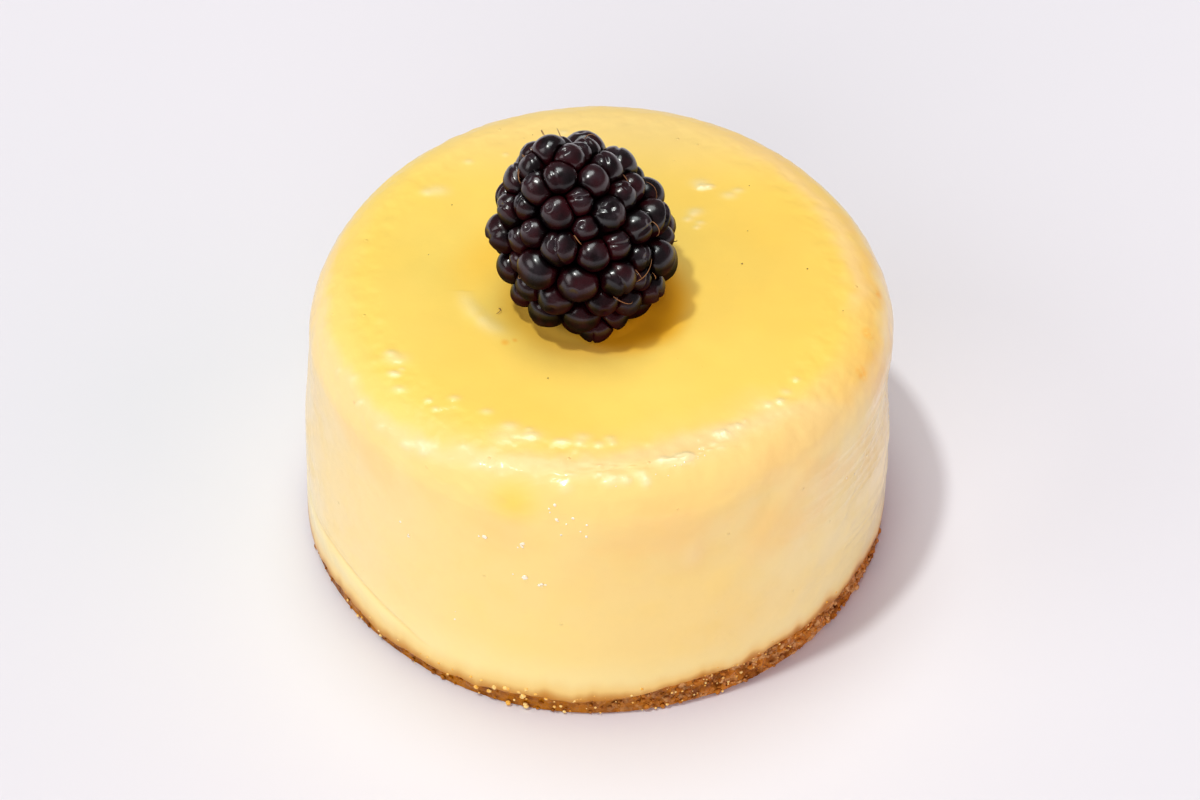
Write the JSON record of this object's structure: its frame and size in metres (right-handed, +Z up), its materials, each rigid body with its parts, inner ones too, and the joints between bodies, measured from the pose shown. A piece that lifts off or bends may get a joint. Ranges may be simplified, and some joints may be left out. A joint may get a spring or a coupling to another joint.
{
  "type": "individual cheesecake",
  "caption": "Small round cheesecake for one person: crumb biscuit base, smooth pale filling, yellow fruit glaze over the top and a dark bramble berry standing on it.",
  "frame": {"origin": "centre of the flat foot, on the surface that the cake stands on", "axes": "+Z up, -Y towards the picture's viewer, +X to the viewer's right"},
  "size_m": [0.0795, 0.0783, 0.0678],
  "materials": {
    "biscuit": "rough brown biscuit crumbs, slightly moist",
    "filling": "smooth pale yellow cream with a thin wet sheen",
    "glaze": "translucent yellow fruit glaze, wet",
    "berry": "nearly black purple berry skin, glossy with soft bloom"
  },
  "bodies": {
    "root": {"biscuit_base": "biscuit", "cheesecake_filling": "filling", "glaze_top": "glaze", "bramble_berry": "berry"}
  },
  "joints": []
}
